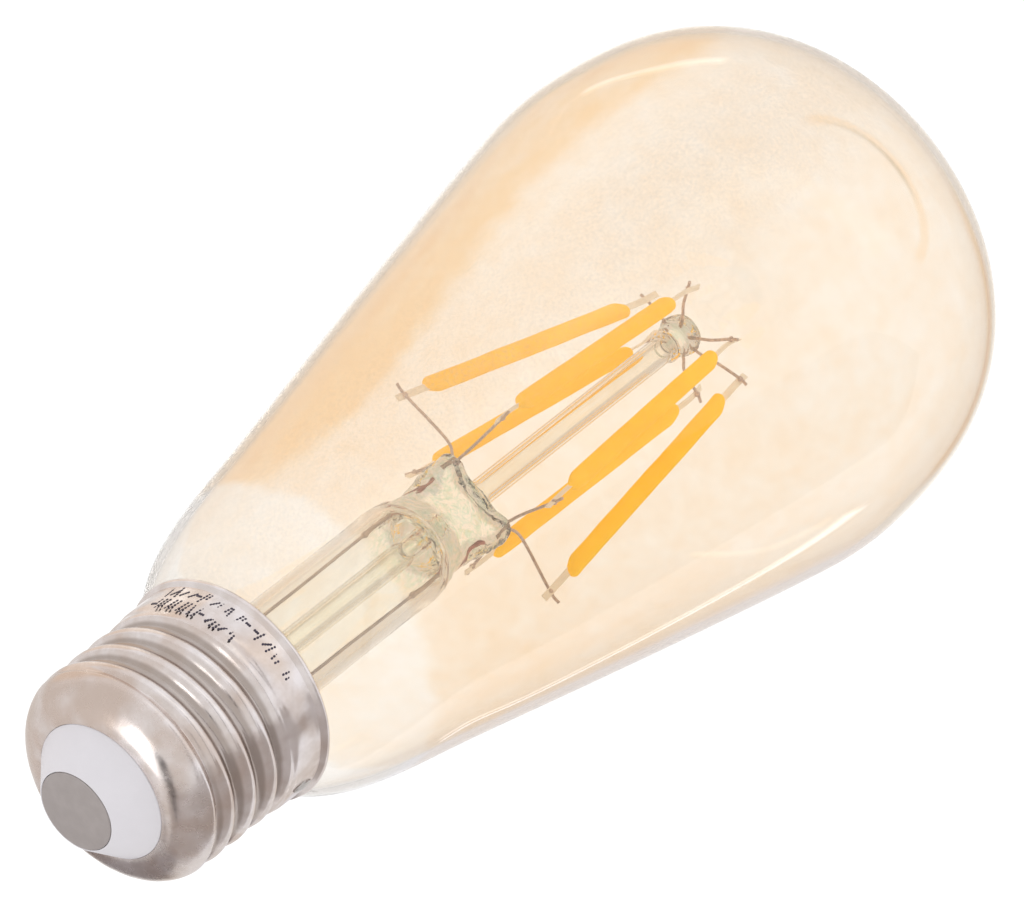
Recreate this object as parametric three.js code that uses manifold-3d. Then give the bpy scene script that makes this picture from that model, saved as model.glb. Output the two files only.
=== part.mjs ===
// LED filament light bulb of the ST64 shape with an E27 screw cap. Units are millimetres.
// The origin is the centre of the centre contact's flat face, and +Z runs up the axis to the crown.
import * as THREE from "three";
import { mergeVertices } from "three/addons/utils/BufferGeometryUtils.js";
import Module from "manifold-3d";

const wasm = await Module();
wasm.setup();

// ---- Driving dimensions ----

const GAP = 0.3; // clearance between neighbouring pieces

// E27 cap
const PITCH = 3.629;
const THREAD_CREST_R = 13.2;
const THREAD_ARC_R = 1.025; // crest and root of the rolled thread are arcs of this radius
const THREAD_START_Z = 7.6;
const THREAD_END_Z = 20.6;
const THREAD_FADE = 1.6; // length over which the thread runs out at each end
const SHEET = 0.35; // thickness of the cap's metal
const SHELL_MOUTH_R = 8.45;
const SHELL_BOTTOM_Z = 4.3;
const DOME_TOP_Z = 8.8;
const SKIRT_R = 13.4;
const RIM_R = 13.97;
const RIM_Z = 26.46;
const CONTACT_R = 4.84;
const CONTACT_THICK = 0.8;
const INSULATOR_R = SHELL_MOUTH_R - GAP;
const INSULATOR_EDGE_Z = 4.1;
const INSULATOR_TOP_Z = 6.4;
const SHANK_R = 1.3;
const SHANK_TOP_Z = INSULATOR_TOP_Z + 0.2;
const WELD_ANGLE = THREE.MathUtils.degToRad(-14); // where the neutral wire is welded to the skirt

// Glass envelope
const WALL = 0.9;
const BULB_R = 32;
const SHOULDER_Z = 109.9; // where the crown starts
const CROWN_H = 30.4;
const CROWN_POWER = 2.7; // exponent of the crown's superellipse
const NECK_R = 10.6;
const NECK_BOTTOM_Z = 20.6;

// Stem: flare, tube and press
const STEM_R = 6.15;
const STEM_WALL = 1;
const FLARE_R = 10.8;
const FLARE_Z = 19.6;
const PRESS_START_Z = 57;
const PRESS_TOP_Z = 68.2;
const PRESS_HALF_W = 5.6;
const PRESS_HALF_D = 2.9;
const LEAD_X = 4.4; // the lead-in wires run at +-LEAD_X
const WIRE_HOLE_R = 0.55;
const PIPE_R = 1.5;
const PIPE_BORE_R = 0.9;
const PIPE_BOTTOM_Z = 17.5;

// Support rod and bead
const ROD_R = 1.6;
const ROD_BORE_R = 1;
const COLLAR_R = 1.95; // the rod is swollen where it is fused at each end
const COLLAR_H = 0.6;
const ROD_TOP_Z = 104.2;
const BEAD_R = 2.6;
const BEAD_MID_Z = 106.4;
const BEAD_HALF_H = 1.75;

// Filament cage
const FILAMENT_R = 1.05;
const FOOT_Z = 72.7; // lower end of each strip's body
const HEAD_Z = 103.9; // upper end of each strip's body
const TAB_LENGTH = 4.6;
const TAB_WIDTH = 0.9;
const TAB_THICK = 0.3;
const WIRE_R = 0.2;
const CROSSING = 3.3; // distance from the body's end to where the wire crosses the tab
const WIRE_TO_TAB = TAB_THICK / 2 + WIRE_R + GAP;
const FEED_START = 0.9; // distance from the lead-in wire to the start of a feed wire
const FEED_RISE = 1.1; // the feed wire rises by this much before it levels out
const FEED_TIP = 1.6; // length of feed wire that sticks out past a tab
const ANCHOR_RISE = 0.3;
const ANCHOR_TIP = 1;

// The cage is bent by hand, so each strip stands a little off a regular hexagon.
// foot and head are the X and Y of the ends of the strip's body, and side is its lead-in wire.
const CAGE = [
  { foot: [-13, -0.5], head: [-6.2, 1.2], side: -1 },
  { foot: [-5, -11.5], head: [-3.6, -6.2], side: -1 },
  { foot: [-5.8, 6.4], head: [-2.2, 5.7], side: -1 },
  { foot: [5.5, -9.8], head: [4.2, -6.2], side: 1 },
  { foot: [6.2, 8.4], head: [6.4, 5.4], side: 1 },
  { foot: [13, 0], head: [8.6, -2.4], side: 1 },
];

// Driver in the cap
const SLEEVE_R = 11.4;
const SLEEVE_WALL = 0.5;
const BOARD_R = 10.2;
const BOARD_Z = 8.2;
const BOARD_THICK = 1;
const PARTS_Z = BOARD_Z + BOARD_THICK + GAP; // underside of the components on the board

// ---- Materials ----

const material = (color, roughness, metalness = 0, opacity = 1) =>
  new THREE.MeshStandardMaterial({ color, roughness, metalness, opacity, transparent: opacity < 1 });

const amberGlass = material(0xf3cf9a, 0.05, 0, 0.35);
const clearGlass = material(0xdfe3d2, 0.05, 0, 0.45);
const phosphor = material(0xffbe3c, 0.6);
const tinnedSteel = material(0xb9a98f, 0.4, 0.8);
const nickel = material(0xbfae9c, 0.3, 1);
const dumet = material(0xa8604c, 0.4, 0.9);
const ceramic = material(0xe0dfe5, 0.5);
const greyMetal = material(0xafa7a5, 0.5, 0.6);
const cement = material(0xd8d2c4, 0.9);
const solder = material(0xc9c9cc, 0.3, 0.9);
const boardGreen = material(0x2f6b46, 0.5);
const blackEpoxy = material(0x1d1d1f, 0.5);
const sleeveWhite = material(0xe9e6dd, 0.5);
const canSleeve = material(0x27303a, 0.4);
const copper = material(0xb56a3a, 0.3, 1);
const redInsulation = material(0xb5302a, 0.5);
const blackInsulation = material(0x26262a, 0.5);
const resistorBlue = material(0x6fa3b8, 0.5);

// ---- Helpers ----

const bulb = new THREE.Group();

function add(name, geometry, finish) {
  const mesh = new THREE.Mesh(geometry, finish);
  mesh.name = name;
  bulb.add(mesh);
  return mesh;
}

// Signed area of a closed outline of [r, z] points, positive when it runs anticlockwise.
function outlineArea(points) {
  let twice = 0;
  points.forEach(([r, z], i) => {
    const [r2, z2] = points[(i + 1) % points.length];
    twice += r * z2 - r2 * z;
  });
  return twice / 2;
}

// A solid of revolution about Z from a closed outline of [r, z] points that stays off the axis,
// or from one that starts and ends on the axis.
function revolve(points, segments) {
  const onAxis = points[0][0] === 0 && points[points.length - 1][0] === 0;
  const ordered = outlineArea(points) > 0 ? points : [...points].reverse();
  const closed = onAxis ? ordered : [...ordered, ordered[0]];
  const profile = closed.map(([r, z]) => new THREE.Vector2(r, z));
  return new THREE.LatheGeometry(profile, segments).rotateX(Math.PI / 2);
}

// Points on an arc of an ellipse from angle a to angle b, in degrees.
function arc([r, z], [halfR, halfZ], a, b, steps) {
  return Array.from({ length: steps + 1 }, (_, i) => {
    const t = THREE.MathUtils.degToRad(a + ((b - a) * i) / steps);
    return [r + halfR * Math.cos(t), z + halfZ * Math.sin(t)];
  });
}

// The outline moved sideways by a distance, to its left as it runs.
function offsetOutline(points, distance) {
  return points.map(([r, z], i) => {
    const [ra, za] = points[Math.max(i - 1, 0)];
    const [rb, zb] = points[Math.min(i + 1, points.length - 1)];
    const length = Math.hypot(rb - ra, zb - za);
    const moved = r - ((zb - za) / length) * distance;
    return [Math.max(moved, 0), z + ((rb - ra) / length) * distance];
  });
}

// A round bar along a smooth curve through the points.
function bar(points, radius, steps = 8, sides = 8) {
  const shape = new THREE.Shape().absarc(0, 0, radius, 0, 2 * Math.PI);
  const extrudePath = new THREE.CatmullRomCurve3(points);
  return new THREE.ExtrudeGeometry(shape, { steps, curveSegments: sides / 2, extrudePath });
}

function rod(radius, length, sides = 12) {
  return new THREE.CylinderGeometry(radius, radius, length, sides).rotateX(Math.PI / 2);
}

// A length of tube about the Z axis, from z0 to z1.
function pipe(outer, inner, z0, z1, sides) {
  return revolve([[inner, z0], [outer, z0], [outer, z1], [inner, z1]], sides);
}

function solidOf(geometry) {
  const plain = new THREE.BufferGeometry();
  const flat = geometry.index ? geometry.toNonIndexed() : geometry;
  plain.setAttribute("position", flat.getAttribute("position").clone());
  const merged = mergeVertices(plain, 1e-3);
  const vertProperties = merged.attributes.position.array;
  const triVerts = new Uint32Array(merged.index.array);
  return new wasm.Manifold(new wasm.Mesh({ numProp: 3, vertProperties, triVerts }));
}

function geometryOf(solid) {
  const mesh = solid.getMesh();
  return new THREE.BufferGeometry()
    .setAttribute("position", new THREE.BufferAttribute(mesh.vertProperties, 3))
    .setIndex(new THREE.BufferAttribute(mesh.triVerts, 1));
}

const vec = (x, y, z) => new THREE.Vector3(x, y, z);
const smooth = THREE.MathUtils.smoothstep;

// ---- Cap ----

// Depth of the rolled thread below its crest at a height and an angle. The profile is a crest arc
// and a root arc that meet at a quarter of the pitch, and it rises with the angle: right-hand.
function threadDepth(z, angle) {
  const turn = z / PITCH - angle / (2 * Math.PI);
  const fromCrest = Math.abs(turn - Math.round(turn)) * PITCH;
  const quarter = PITCH / 4;
  const drop = (x) => THREAD_ARC_R - Math.sqrt(THREAD_ARC_R ** 2 - x ** 2);
  if (fromCrest <= quarter) return drop(fromCrest);
  return 2 * drop(quarter) - drop(PITCH / 2 - fromCrest);
}

// Rolls the thread into a revolved shell by moving its vertices inwards.
function rollThread(geometry) {
  const position = geometry.getAttribute("position");
  for (let i = 0; i < position.count; i++) {
    const [x, y, z] = [position.getX(i), position.getY(i), position.getZ(i)];
    const start = smooth(z, THREAD_START_Z, THREAD_START_Z + THREAD_FADE);
    const end = smooth(z, THREAD_END_Z - THREAD_FADE, THREAD_END_Z);
    const depth = threadDepth(z, Math.atan2(y, x)) * start * (1 - end);
    const scale = 1 - depth / Math.hypot(x, y);
    position.setXY(i, x * scale, y * scale);
  }
  return geometry;
}

function screwShell() {
  const domeSteps = 4;
  const threadRows = 19;
  const domeSize = [THREAD_CREST_R - SHELL_MOUTH_R, DOME_TOP_Z - SHELL_BOTTOM_Z];
  const outer = arc([SHELL_MOUTH_R, DOME_TOP_Z], domeSize, -90, 0, domeSteps);
  for (let i = 1; i <= threadRows; i++) {
    outer.push([THREAD_CREST_R, DOME_TOP_Z + ((THREAD_END_Z - DOME_TOP_Z) * i) / threadRows]);
  }
  const lipH = 0.9;
  outer.push([SKIRT_R, THREAD_END_Z + 1], [SKIRT_R, RIM_Z - lipH - 0.4]);
  outer.push([RIM_R, RIM_Z - lipH / 2], [RIM_R - 0.15, RIM_Z]);
  const inner = offsetOutline(outer, SHEET).reverse();
  return rollThread(revolve([...outer, ...inner], 36));
}

function insulator() {
  const hole = SHANK_R + GAP;
  const pocketR = CONTACT_R + GAP;
  const pocketZ = CONTACT_THICK + GAP;
  const flangeR = INSULATOR_R + 1.4;
  const flangeZ = SHELL_BOTTOM_Z + SHEET + 2 * GAP;
  const coneZ = 0.35; // the cone starts this far above the contact's face
  return revolve(
    [
      [hole, pocketZ],
      [pocketR, pocketZ],
      [pocketR, coneZ],
      [INSULATOR_R, INSULATOR_EDGE_Z],
      [INSULATOR_R, flangeZ],
      [flangeR, flangeZ + GAP],
      [flangeR, INSULATOR_TOP_Z],
      [hole, INSULATOR_TOP_Z],
    ],
    32,
  );
}

function centreContact() {
  const edge = 0.2;
  return revolve(
    [
      [0, 0],
      [CONTACT_R - edge, 0],
      [CONTACT_R, edge],
      [CONTACT_R, CONTACT_THICK],
      [SHANK_R, CONTACT_THICK],
      [SHANK_R, SHANK_TOP_Z],
      [0, SHANK_TOP_Z],
    ],
    32,
  );
}

add("screw_shell", screwShell(), nickel);
add("insulator", insulator(), ceramic);
add("centre_contact", centreContact(), greyMetal);

// The ring of cement between neck and skirt has a notch where the neutral wire passes.
const CEMENT_BOTTOM_Z = 21.5;
const CEMENT_TOP_Z = 24;
const CEMENT_R = SKIRT_R - SHEET - GAP;
const cementRing = revolve(
  [
    [NECK_R + GAP, CEMENT_BOTTOM_Z],
    [CEMENT_R, CEMENT_BOTTOM_Z],
    [CEMENT_R, CEMENT_TOP_Z],
    [NECK_R + 1.2, CEMENT_TOP_Z],
    [NECK_R + GAP + 0.2, CEMENT_BOTTOM_Z + 0.8],
  ],
  36,
);
const NOTCH_SIZE = [3.2, 1.2, 4];
const notch = new THREE.BoxGeometry(...NOTCH_SIZE)
  .translate(NECK_R + 1.4, 0, (CEMENT_BOTTOM_Z + CEMENT_TOP_Z) / 2)
  .rotateZ(WELD_ANGLE);
add("basing_cement", geometryOf(solidOf(cementRing).subtract(solidOf(notch))), cement);

// The neutral wire's weld is a small flat pad on the outside of the skirt, under the rim.
const WELD_HALF_SIZE = [0.25, 0.6, 1.3];
const weldPad = new THREE.SphereGeometry(1, 12, 8)
  .scale(...WELD_HALF_SIZE)
  .translate(SKIRT_R + GAP + WELD_HALF_SIZE[0], 0, RIM_Z - 3)
  .rotateZ(WELD_ANGLE);
add("rim_weld", weldPad, solder);

// ---- Glass ----

// Outside of the envelope, from the neck's end up to the top of the crown.
function envelopeOutline() {
  const side = new THREE.SplineCurve(
    [
      [NECK_R, 22.6],
      [11.5, 24.8],
      [13.1, 27],
      [15.8, 29.7],
      [17.9, 34.8],
      [19.3, 40.7],
      [20.6, 48.3],
      [22.8, 59.2],
      [26.15, 76.1],
      [29.35, 93],
      [31, 102.3],
      [31.75, 107],
      [BULB_R, SHOULDER_Z + 2],
    ].map(([r, z]) => new THREE.Vector2(r, z)),
  );
  const sidePoints = side.getPoints(16).map((p) => [p.x, p.y]);
  const crownSteps = 9;
  const crown = [];
  for (let i = 1; i <= crownSteps; i++) {
    const t = ((i / crownSteps) * Math.PI) / 2;
    const r = i === crownSteps ? 0 : BULB_R * Math.cos(t) ** (2 / CROWN_POWER);
    crown.push([r, SHOULDER_Z + CROWN_H * Math.sin(t) ** (2 / CROWN_POWER)]);
  }
  return [[NECK_R, NECK_BOTTOM_Z], ...sidePoints, ...crown];
}

function envelope() {
  const outer = envelopeOutline();
  const inner = offsetOutline(outer, WALL);
  inner[inner.length - 1] = [0, SHOULDER_Z + CROWN_H - WALL];
  return revolve([...inner.reverse(), ...outer], 40);
}

// The press is the top of the stem, squeezed flat across Y and cut for wires and rod.
function stem() {
  const flareCurve = new THREE.CubicBezierCurve(
    new THREE.Vector2(FLARE_R, FLARE_Z),
    new THREE.Vector2(FLARE_R - 3, FLARE_Z),
    new THREE.Vector2(STEM_R, FLARE_Z + 2.5),
    new THREE.Vector2(STEM_R, FLARE_Z + 8),
  );
  const outer = flareCurve.getPoints(6).map((p) => [p.x, p.y]);
  outer.push([STEM_R, PRESS_START_Z - 3]);
  outer.push([STEM_R + 0.15, PRESS_START_Z - 1]);
  outer.push([STEM_R - 0.5, PRESS_START_Z + 1]);
  const inner = offsetOutline(outer, STEM_WALL).reverse();
  const tube = solidOf(revolve([...outer, ...inner], 24));
  const [seatR, seatZ] = outer[outer.length - 1];
  const seat = solidOf(rod(seatR - 0.2, 1.6, 24).translate(0, 0, seatZ - 0.2));
  let glass = tube.add(solidOf(pressBlock())).add(seat);
  for (const side of [-1, 1]) {
    const wireHole = rod(WIRE_HOLE_R, 16).translate(side * LEAD_X, 0, PRESS_TOP_Z - 6);
    glass = glass.subtract(solidOf(wireHole));
  }
  glass = glass.subtract(solidOf(rod(PIPE_R + GAP, 8, 16).translate(0, 0, PRESS_START_Z)));
  return geometryOf(glass);
}

// A block with rounded plan that narrows from the tube to the flat press and swells at its top.
function pressBlock() {
  const sections = [
    { z: PRESS_START_Z, halfW: STEM_R - 0.5, halfD: STEM_R - 0.5 },
    { z: PRESS_START_Z + 2.5, halfW: STEM_R - 0.6, halfD: 4.2 },
    { z: PRESS_START_Z + 5, halfW: PRESS_HALF_W - 0.1, halfD: PRESS_HALF_D },
    { z: PRESS_TOP_Z - 1.5, halfW: PRESS_HALF_W, halfD: PRESS_HALF_D },
    { z: PRESS_TOP_Z, halfW: PRESS_HALF_W - 0.8, halfD: PRESS_HALF_D - 0.7 },
  ];
  const rows = new THREE.CylinderGeometry(1, 1, 1, 24, sections.length - 1).rotateX(Math.PI / 2);
  const position = rows.getAttribute("position");
  for (let i = 0; i < position.count; i++) {
    const row = sections[Math.round((position.getZ(i) + 0.5) * (sections.length - 1))];
    position.setXYZ(i, position.getX(i) * row.halfW, position.getY(i) * row.halfD, row.z);
  }
  return rows;
}

function supportRod() {
  const bottom = PRESS_TOP_Z + GAP;
  return revolve(
    [
      [ROD_BORE_R, bottom],
      [COLLAR_R, bottom],
      [COLLAR_R, bottom + COLLAR_H],
      [ROD_R, bottom + 2 * COLLAR_H],
      [ROD_R, ROD_TOP_Z - 2 * COLLAR_H],
      [COLLAR_R, ROD_TOP_Z - COLLAR_H],
      [COLLAR_R, ROD_TOP_Z],
      [ROD_BORE_R, ROD_TOP_Z],
    ],
    16,
  );
}

add("glass_envelope", envelope(), amberGlass);
add("stem_tube", stem(), clearGlass);
add("exhaust_tube", pipe(PIPE_R, PIPE_BORE_R, PIPE_BOTTOM_Z, PRESS_START_Z + 3.2, 12), clearGlass);
add("support_rod", supportRod(), clearGlass);
const beadOutline = arc([0, BEAD_MID_Z], [BEAD_R, BEAD_HALF_H], -90, 90, 8);
beadOutline[0][0] = 0;
beadOutline[beadOutline.length - 1][0] = 0;
add("support_bead", revolve(beadOutline, 16), clearGlass);

// ---- Filament cage ----

// The strip's body is a round bar with domed ends, along the line from foot to head.
function filament(foot, head) {
  const length = foot.distanceTo(head);
  const half = length / 2 - FILAMENT_R;
  const outline = [
    ...arc([0, -half], [FILAMENT_R, FILAMENT_R], -90, 0, 2),
    ...arc([0, half], [FILAMENT_R, FILAMENT_R], 0, 90, 2),
  ];
  outline[0][0] = 0;
  outline[outline.length - 1][0] = 0;
  return placeAlong(revolve(outline, 12), foot, head);
}

// Turns a piece made along Z so that it lies along the line from one point to another, with its
// own X across the line and its Y pointing away from the bulb's axis.
function placeAlong(geometry, from, to) {
  const along = to.clone().sub(from).normalize();
  const middle = from.clone().add(to).multiplyScalar(0.5);
  const outward = outwardAt(middle);
  const across = outward.clone().cross(along).normalize();
  const facing = along.clone().cross(across);
  const turn = new THREE.Matrix4().makeBasis(across, facing, along).setPosition(middle);
  return geometry.applyMatrix4(turn);
}

const outwardAt = (point) => vec(point.x, point.y, 0).normalize();
const sidewaysOf = (outward) => vec(0, 0, 1).cross(outward);

// A flat strip of metal with its width along the radius.
function tab(from, to) {
  return placeAlong(new THREE.BoxGeometry(TAB_THICK, TAB_WIDTH, from.distanceTo(to)), from, to);
}

// A wire from the press that rises a little, then runs out level past the flat of a tab.
function feedWire(crossing, side) {
  const exit = vec(side * LEAD_X, 0, PRESS_TOP_Z + GAP + WIRE_R);
  const outward = vec(crossing.x - exit.x, crossing.y, 0).normalize();
  exit.addScaledVector(outward, FEED_START);
  const beside = crossing.clone().addScaledVector(sidewaysOf(outward), WIRE_TO_TAB);
  const bend = exit.clone().addScaledVector(outward, FEED_RISE).add(vec(0, 0, FEED_RISE));
  const tip = beside.clone().addScaledVector(outward, FEED_TIP);
  return bar([exit, bend, bend.clone().lerp(beside, 0.5), beside, tip], WIRE_R, 10);
}

// A wire from the bead that runs out past the other flat of a tab.
function anchorWire(crossing, outward) {
  const start = vec(0, 0, BEAD_MID_Z).addScaledVector(outward, BEAD_R + GAP);
  const beside = crossing.clone().addScaledVector(sidewaysOf(outward), -WIRE_TO_TAB);
  const bend = start.clone().lerp(beside, 0.5).add(vec(0, 0, ANCHOR_RISE));
  const tip = beside.clone().addScaledVector(outward, ANCHOR_TIP);
  return bar([start, bend, beside, tip], WIRE_R, 9);
}

CAGE.forEach(({ foot, head, side }, i) => {
  const number = i + 1;
  const low = vec(...foot, FOOT_Z);
  const high = vec(...head, HEAD_Z);
  const up = high.clone().sub(low).normalize();
  const below = (distance) => low.clone().addScaledVector(up, -distance);
  const above = (distance) => high.clone().addScaledVector(up, distance);
  add("filament_" + number, filament(low, high), phosphor);
  add("filament_tab_lower_" + number, tab(below(GAP), below(TAB_LENGTH)), tinnedSteel);
  add("filament_tab_upper_" + number, tab(above(GAP), above(TAB_LENGTH)), tinnedSteel);
  add("feed_wire_" + number, feedWire(below(CROSSING), side), tinnedSteel);
  add("anchor_wire_" + number, anchorWire(above(CROSSING), outwardAt(high)), tinnedSteel);
});

// ---- Lead-in wires ----

const DUMET_BOTTOM_Z = PRESS_START_Z + 1;
const DUMET_TOP_Z = PRESS_TOP_Z - 0.4;
for (const [name, side] of [["left", -1], ["right", 1]]) {
  const x = side * LEAD_X;
  const seal = rod(WIRE_R, DUMET_TOP_Z - DUMET_BOTTOM_Z, 8);
  add("dumet_" + name, seal.translate(x, 0, (DUMET_TOP_Z + DUMET_BOTTOM_Z) / 2), dumet);
  const lead = [
    vec(x, 0, PARTS_Z),
    vec(x * 0.95, 0, FLARE_Z + 2),
    vec(x * 0.93, 0, (FLARE_Z + PRESS_START_Z) / 2),
    vec(x, 0, DUMET_BOTTOM_Z - GAP),
  ];
  add("lead_in_" + name, bar(lead, WIRE_R, 12), tinnedSteel);
}

// ---- Driver and radio in the cap ----

const block = (w, d, h, x, y, z) => new THREE.BoxGeometry(w, d, h).translate(x, y, z + h / 2);
const drum = (r, h, x, y, z, sides = 20) => rod(r, h, sides).translate(x, y, z + h / 2);

add("insulating_sleeve", pipe(SLEEVE_R, SLEEVE_R - SLEEVE_WALL, DOME_TOP_Z - 1, 16.4, 32), sleeveWhite);
add("driver_board", drum(BOARD_R, BOARD_THICK, 0, 0, BOARD_Z, 32), boardGreen);
add("bulk_capacitor", drum(2.5, 6, -6.4, -3.8, PARTS_Z), canSleeve);

const coilH = 4;
const coilOutline = [
  [0, 0],
  [2.6, 0],
  [2.6, 0.7],
  [2.1, 0.7],
  [2.1, coilH - 0.7],
  [2.6, coilH - 0.7],
  [2.6, coilH],
  [0, coilH],
];
add("inductor", revolve(coilOutline, 20).translate(4.8, -5.7, PARTS_Z), copper);
add("bridge_rectifier", block(4.6, 3.8, 1.6, -1.2, -7.4, PARTS_Z), blackEpoxy);
add("driver_chip", block(4.9, 3.6, 1.5, -1, -2.6, PARTS_Z), blackEpoxy);
const fuse = rod(0.9, 5).rotateY(Math.PI / 2).translate(0, 1.5, PARTS_Z + 0.9);
add("fuse_resistor", fuse, resistorBlue);

// The radio board stands on the driver board, and its antenna rises inside the stem.
const RADIO_Y = 4.4;
const RADIO_TOP_Z = 15.8;
add("wireless_module", block(14, 0.8, RADIO_TOP_Z - PARTS_Z, 0, RADIO_Y, PARTS_Z), boardGreen);
add("shield_can", block(8, 1.4, 5, -1.5, RADIO_Y + 0.4 + GAP + 0.7, PARTS_Z + 0.6), greyMetal);
const antennaPath = [
  vec(3, RADIO_Y, RADIO_TOP_Z + GAP),
  vec(3, RADIO_Y - 0.5, 18.5),
  vec(2.8, 3, 23),
  vec(2.8, 3, 31),
];
add("antenna", bar(antennaPath, 0.25, 10), copper);

// The live wire runs under the board to the contact's shank, the neutral wire over the sleeve
// and up past the neck to the skirt.
const UNDER_Z = INSULATOR_TOP_Z + 1;
const livePath = [vec(0, 0, UNDER_Z), vec(1.6, 0.4, UNDER_Z), vec(3.4, 1.4, UNDER_Z)];
add("live_wire", bar(livePath, 0.32, 4), redInsulation);
const neutral = [
  [9.2, PARTS_Z],
  [9.5, 14],
  [10.1, 16.8],
  [11.15, 18.4],
  [11.2, 21.2],
  [12.2, 24.6],
].map(([r, z]) => vec(r * Math.cos(WELD_ANGLE), r * Math.sin(WELD_ANGLE), z));
add("neutral_wire", bar(neutral, 0.25, 12), blackInsulation);

export default bulb;
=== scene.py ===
"""Looks of an LED filament light bulb with an E27 screw cap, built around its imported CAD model.

Lengths are in millimetres until a mesh is made. Z runs up the bulb's axis from the contact.
"""

import math
import random

import bpy
from mathutils import Matrix, Vector, noise


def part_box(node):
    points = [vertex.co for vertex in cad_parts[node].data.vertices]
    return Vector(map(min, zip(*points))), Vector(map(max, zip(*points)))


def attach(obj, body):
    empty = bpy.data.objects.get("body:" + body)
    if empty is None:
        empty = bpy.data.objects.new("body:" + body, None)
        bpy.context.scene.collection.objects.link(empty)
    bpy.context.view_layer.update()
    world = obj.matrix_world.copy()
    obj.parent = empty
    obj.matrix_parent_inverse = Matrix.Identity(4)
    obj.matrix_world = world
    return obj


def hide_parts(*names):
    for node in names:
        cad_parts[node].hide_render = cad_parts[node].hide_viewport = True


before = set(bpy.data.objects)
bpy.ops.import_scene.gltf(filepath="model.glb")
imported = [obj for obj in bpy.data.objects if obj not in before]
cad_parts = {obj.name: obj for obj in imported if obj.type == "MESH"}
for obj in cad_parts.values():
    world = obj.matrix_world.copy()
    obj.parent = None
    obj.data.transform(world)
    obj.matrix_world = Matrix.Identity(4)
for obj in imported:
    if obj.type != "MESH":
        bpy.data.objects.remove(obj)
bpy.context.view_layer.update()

MM = 0.001
BODY = "root"
X, Y, Z = range(3)


def low(node, axis):
    """Lowest coordinate of a CAD node, in millimetres."""
    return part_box(node)[0][axis] / MM


def high(node, axis):
    """Highest coordinate of a CAD node, in millimetres."""
    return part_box(node)[1][axis] / MM


# ---- Sizes that the CAD model shares ----

PITCH = 3.629
THREAD_ARC_R = 1.025
THREAD_CREST_R = 13.2
THREAD_START_Z = 7.6
THREAD_END_Z = 20.6
THREAD_FADE = 1.6
SHEET = 0.35
MOUTH_R = 8.45
SHELL_BOTTOM_Z = low("screw_shell", Z)
DOME_TOP_Z = SHELL_BOTTOM_Z + 4.5
SKIRT_R = 13.4
RIM_R = high("screw_shell", X)
RIM_Z = high("screw_shell", Z)
CONTACT_R = high("centre_contact", X)
SHANK_TOP_Z = high("centre_contact", Z)
INSULATOR_TOP_Z = high("insulator", Z)

WALL = 0.9
BULB_R = high("glass_envelope", X)
TOP_Z = high("glass_envelope", Z)
NECK_BOTTOM_Z = low("glass_envelope", Z)
CROWN_H = 30.4
SHOULDER_Z = TOP_Z - CROWN_H
CROWN_POWER = 2.7
NECK_R = 10.6
MARK_R = 10.7  # the mould mark's circle on the crown
MARK_DEPTH = 0.16

FLARE_R = high("stem_tube", X)
FLARE_Z = low("stem_tube", Z) + 1
STEM_R = 6.15
STEM_WALL = 1
PRESS_TOP_Z = high("stem_tube", Z)
LEAD_X = 4.4
PIPE_R = high("exhaust_tube", X)
PIPE_BORE_R = 0.9
PIPE_BOTTOM_Z = low("exhaust_tube", Z)

ROD_R = 1.6
ROD_BORE_R = 1
ROD_BOTTOM_Z = low("support_rod", Z)
ROD_TOP_Z = high("support_rod", Z)
BEAD_R = high("support_bead", X)
BEAD_MID_Z = (low("support_bead", Z) + high("support_bead", Z)) / 2

FILAMENT_R = 1.05
FOOT_Z = 72.7
HEAD_Z = 103.9
TAB_LENGTH = 4.6
TAB_WIDTH = 0.85
TAB_THICK = 0.14
CROSSING = 3.3
WIRE_R = 0.18
TOUCH = TAB_THICK / 2 + WIRE_R * 0.7  # from a tab's middle to the wire that is pressed onto it
FEED_TIP = 1.6
ANCHOR_TIP = 1
CAGE = [
    {"foot": (-13, -0.5), "head": (-6.2, 1.2), "side": -1},
    {"foot": (-5, -11.5), "head": (-3.6, -6.2), "side": -1},
    {"foot": (-5.8, 6.4), "head": (-2.2, 5.7), "side": -1},
    {"foot": (5.5, -9.8), "head": (4.2, -6.2), "side": 1},
    {"foot": (6.2, 8.4), "head": (6.4, 5.4), "side": 1},
    {"foot": (13, 0), "head": (8.6, -2.4), "side": 1},
]
WELD_ANGLE = math.radians(-14)


# ---- Camera ----

def photo_camera():
    """A long lens below the bulb, rolled so that the axis rises to the right."""
    elevation = math.radians(38.11)
    roll = math.radians(51.8)
    aim = Vector((-1.43, 0, 77.3)) * MM
    distance = 1.2299
    forward = Vector((0, math.cos(elevation), math.sin(elevation)))
    level = Vector((1, 0, 0))
    upright = level.cross(forward)
    right = math.cos(roll) * level + math.sin(roll) * upright
    up = right.cross(forward)
    data = bpy.data.cameras.new("camera")
    data.sensor_width = 36
    data.lens = 386.7
    data.clip_start = 0.05
    data.clip_end = 60
    camera = bpy.data.objects.new("camera", data)
    bpy.context.scene.collection.objects.link(camera)
    turn = Matrix((right, up, -forward)).transposed().to_4x4()
    camera.matrix_world = Matrix.Translation(aim - forward * distance) @ turn
    bpy.context.scene.camera = camera


photo_camera()


# ---- Mesh helpers ----

def lerp(a, b, t):
    """The value a share t of the way from a to b."""
    return a + (b - a) * t


def smooth(x, a, b):
    """0 below a, 1 above b, with soft ends."""
    t = min(max((x - a) / (b - a), 0), 1)
    return t * t * (3 - 2 * t)


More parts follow.
